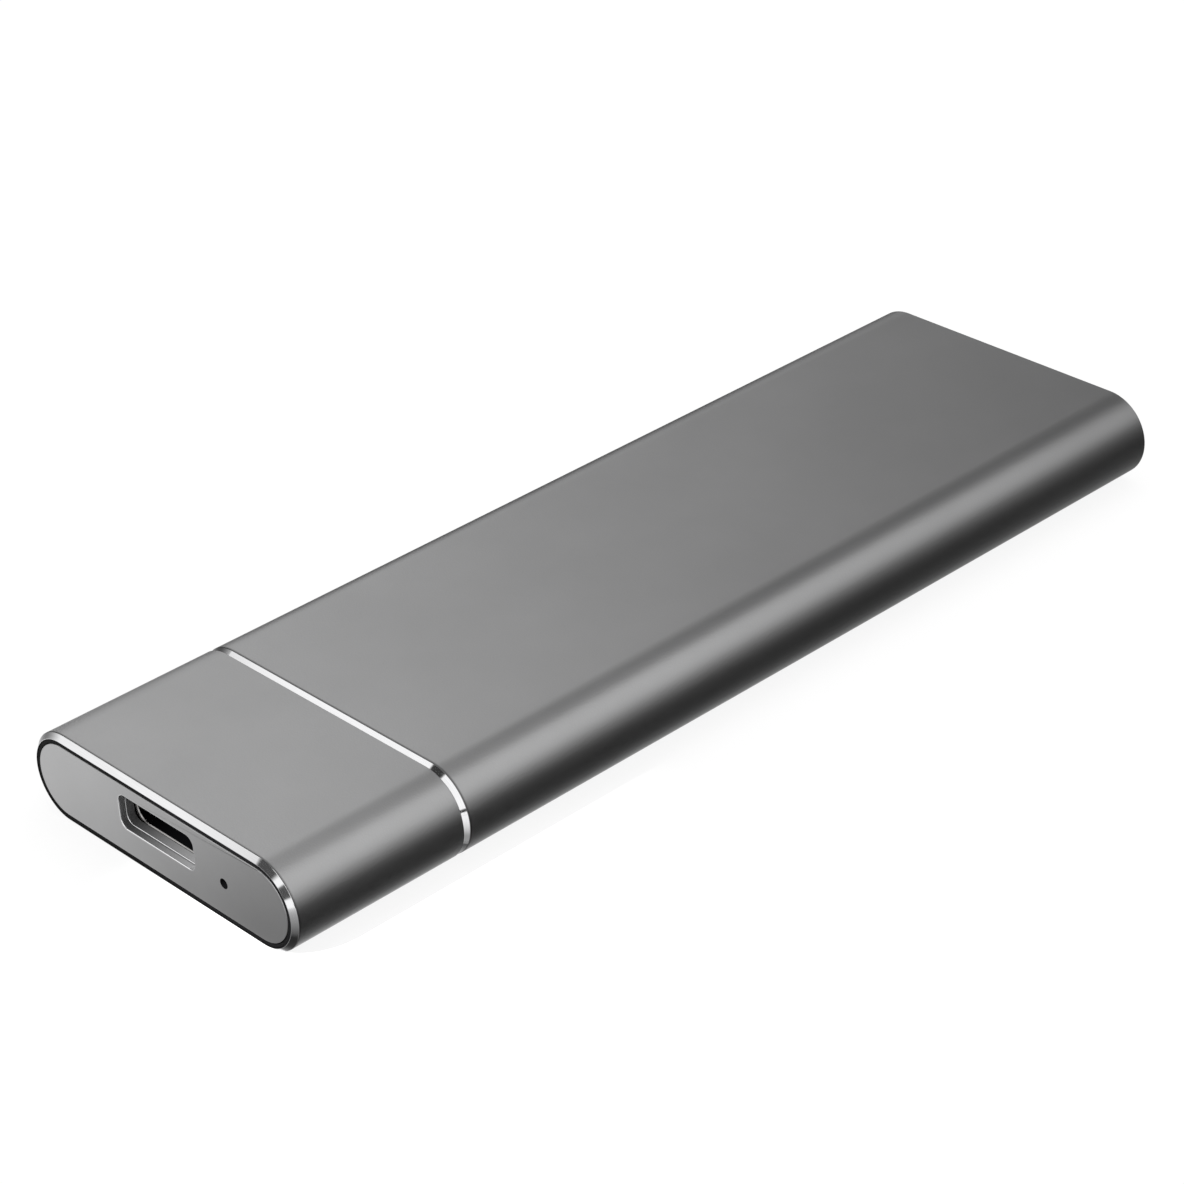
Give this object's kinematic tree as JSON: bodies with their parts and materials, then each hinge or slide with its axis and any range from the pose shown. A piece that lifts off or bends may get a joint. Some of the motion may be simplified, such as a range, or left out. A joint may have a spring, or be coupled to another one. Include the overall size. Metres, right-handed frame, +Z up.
{
  "type": "portable external drive",
  "caption": "Slim portable solid-state drive in a flat aluminium sleeve with half-round sides, a short collar, bright cut edges and a small reversible data port in its inset end plate.",
  "frame": {"origin": "on the underside, below the middle of the case", "axes": "+X across, +Y from the port end to the closed end, +Z up"},
  "size_m": [0.0326, 0.1, 0.0082],
  "materials": {
    "anodised_shell": "fine blasted and anodised, grey",
    "black_moulding": "fine moulded texture",
    "circuit_board": "solder mask",
    "plated_steel": "drawn and plated",
    "gold_contact": "plated",
    "turned_brass": "turned",
    "chip_body": "moulded",
    "ceramic_part": "fired",
    "clear_pipe": "smoked and clear",
    "light_body": "moulded",
    "soft_pad": "soft"
  },
  "bodies": {
    "root": {"main_sleeve": "anodised_shell", "front_collar": "anodised_shell", "front_plate": "anodised_shell", "rear_plate": "anodised_shell", "front_frame": "black_moulding", "bridge_board": "circuit_board", "board_screws": "plated_steel", "port_shell": "plated_steel", "port_tongue": "black_moulding", "port_contacts": "gold_contact", "light_pipe": "clear_pipe", "activity_led": "light_body", "bridge_chip": "chip_body", "power_coil": "chip_body", "clock_crystal": "plated_steel", "board_capacitors": "ceramic_part", "board_resistors": "chip_body", "card_socket": "black_moulding", "card_socket_pins": "gold_contact", "memory_card": "circuit_board", "card_fingers": "gold_contact", "flash_chips": "chip_body", "card_controller": "chip_body", "cache_chip": "chip_body", "card_capacitors": "ceramic_part", "card_standoff": "turned_brass", "card_screw": "plated_steel", "thermal_pad": "soft_pad"}
  },
  "joints": []
}
